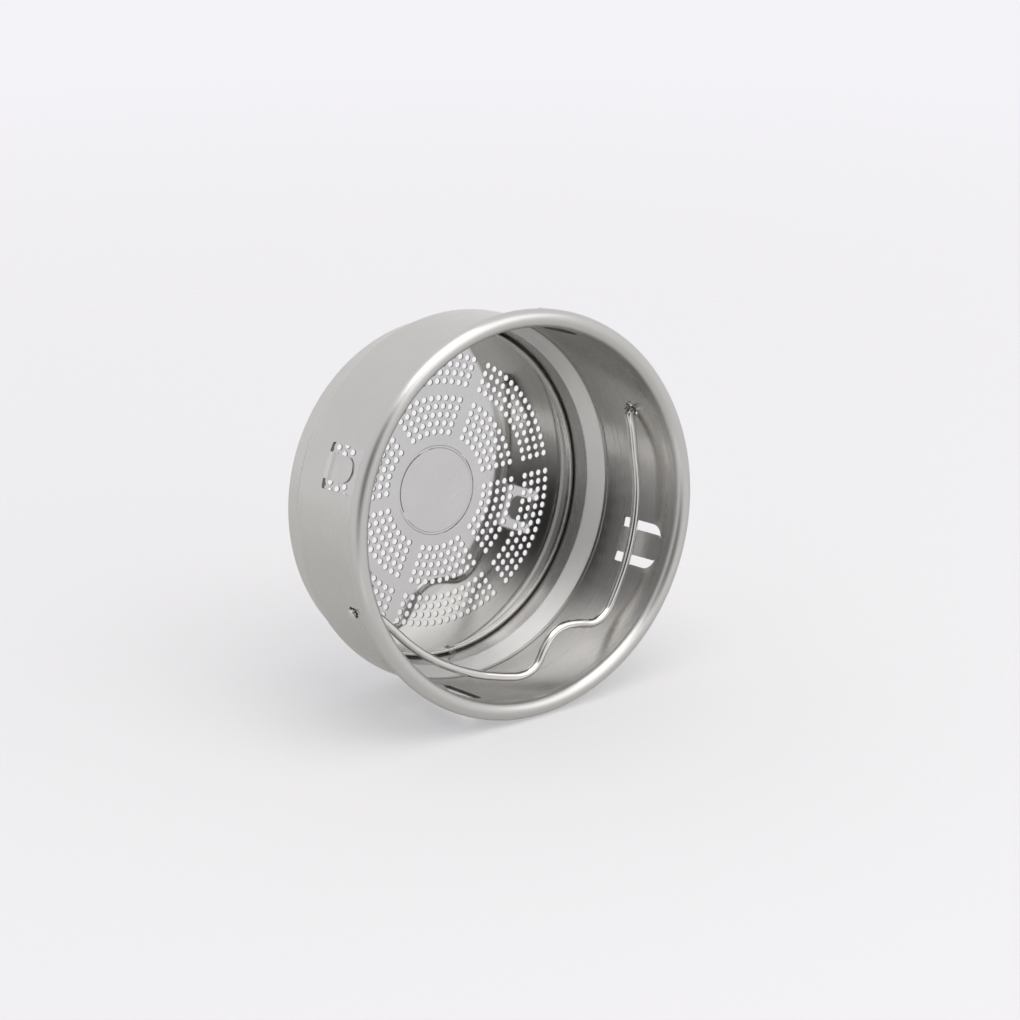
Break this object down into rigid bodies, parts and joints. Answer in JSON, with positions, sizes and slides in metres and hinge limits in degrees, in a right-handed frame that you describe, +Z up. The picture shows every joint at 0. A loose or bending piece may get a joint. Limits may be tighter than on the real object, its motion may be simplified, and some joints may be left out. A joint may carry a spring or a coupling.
{
  "type": "basket strainer",
  "caption": "Round sheet steel basket strainer with a rolled rim, a perforated disc clamped in its tapered foot, a folding wire bail and sprung side tabs.",
  "frame": {"origin": "centre of the underside of the foot", "axes": "+Z up out of the mouth; X along the bail's pivot line; the bail lies towards -Y at rest"},
  "size_m": [0.052, 0.052, 0.0212],
  "materials": {
    "satin_steel": "satin, fine brushing round the cup",
    "etched_steel": "bright rolled sheet with etched round holes",
    "ring_steel": "bright",
    "wire_steel": "bright drawn wire",
    "spring_steel": "satin, as the cup"
  },
  "bodies": {
    "cup": {"cup_body": "satin_steel", "strainer_disc": "etched_steel", "clamp_ring": "ring_steel"},
    "bail": {"wire_bail": "wire_steel"},
    "tab_1": {"spring_tab_1": "spring_steel"},
    "tab_2": {"spring_tab_2": "spring_steel"},
    "tab_3": {"spring_tab_3": "spring_steel"},
    "tab_4": {"spring_tab_4": "spring_steel"}
  },
  "joints": [
    {"name": "bail_fold", "type": "hinge", "parent": "cup", "child": "bail", "pos_m": [0, 0, 0.01425], "axis": [-1, 0, 0], "range_deg": [-41, 213]},
    {"name": "tab_1_flex", "type": "hinge", "parent": "cup", "child": "tab_1", "pos_m": [0.0166, 0.01719, 0.0107], "axis": [0.7193, -0.6947, 0], "range_deg": [0, 15], "stiffness_Nm_per_rad": 2.6},
    {"name": "tab_2_flex", "type": "hinge", "parent": "cup", "child": "tab_2", "pos_m": [-0.01719, 0.0166, 0.0107], "axis": [0.6947, 0.7193, 0], "range_deg": [0, 15], "stiffness_Nm_per_rad": 2.6},
    {"name": "tab_3_flex", "type": "hinge", "parent": "cup", "child": "tab_3", "pos_m": [-0.0166, -0.01719, 0.0107], "axis": [-0.7193, 0.6947, 0], "range_deg": [0, 15], "stiffness_Nm_per_rad": 2.6},
    {"name": "tab_4_flex", "type": "hinge", "parent": "cup", "child": "tab_4", "pos_m": [0.01719, -0.0166, 0.0107], "axis": [-0.6947, -0.7193, 0], "range_deg": [0, 15], "stiffness_Nm_per_rad": 2.6}
  ]
}
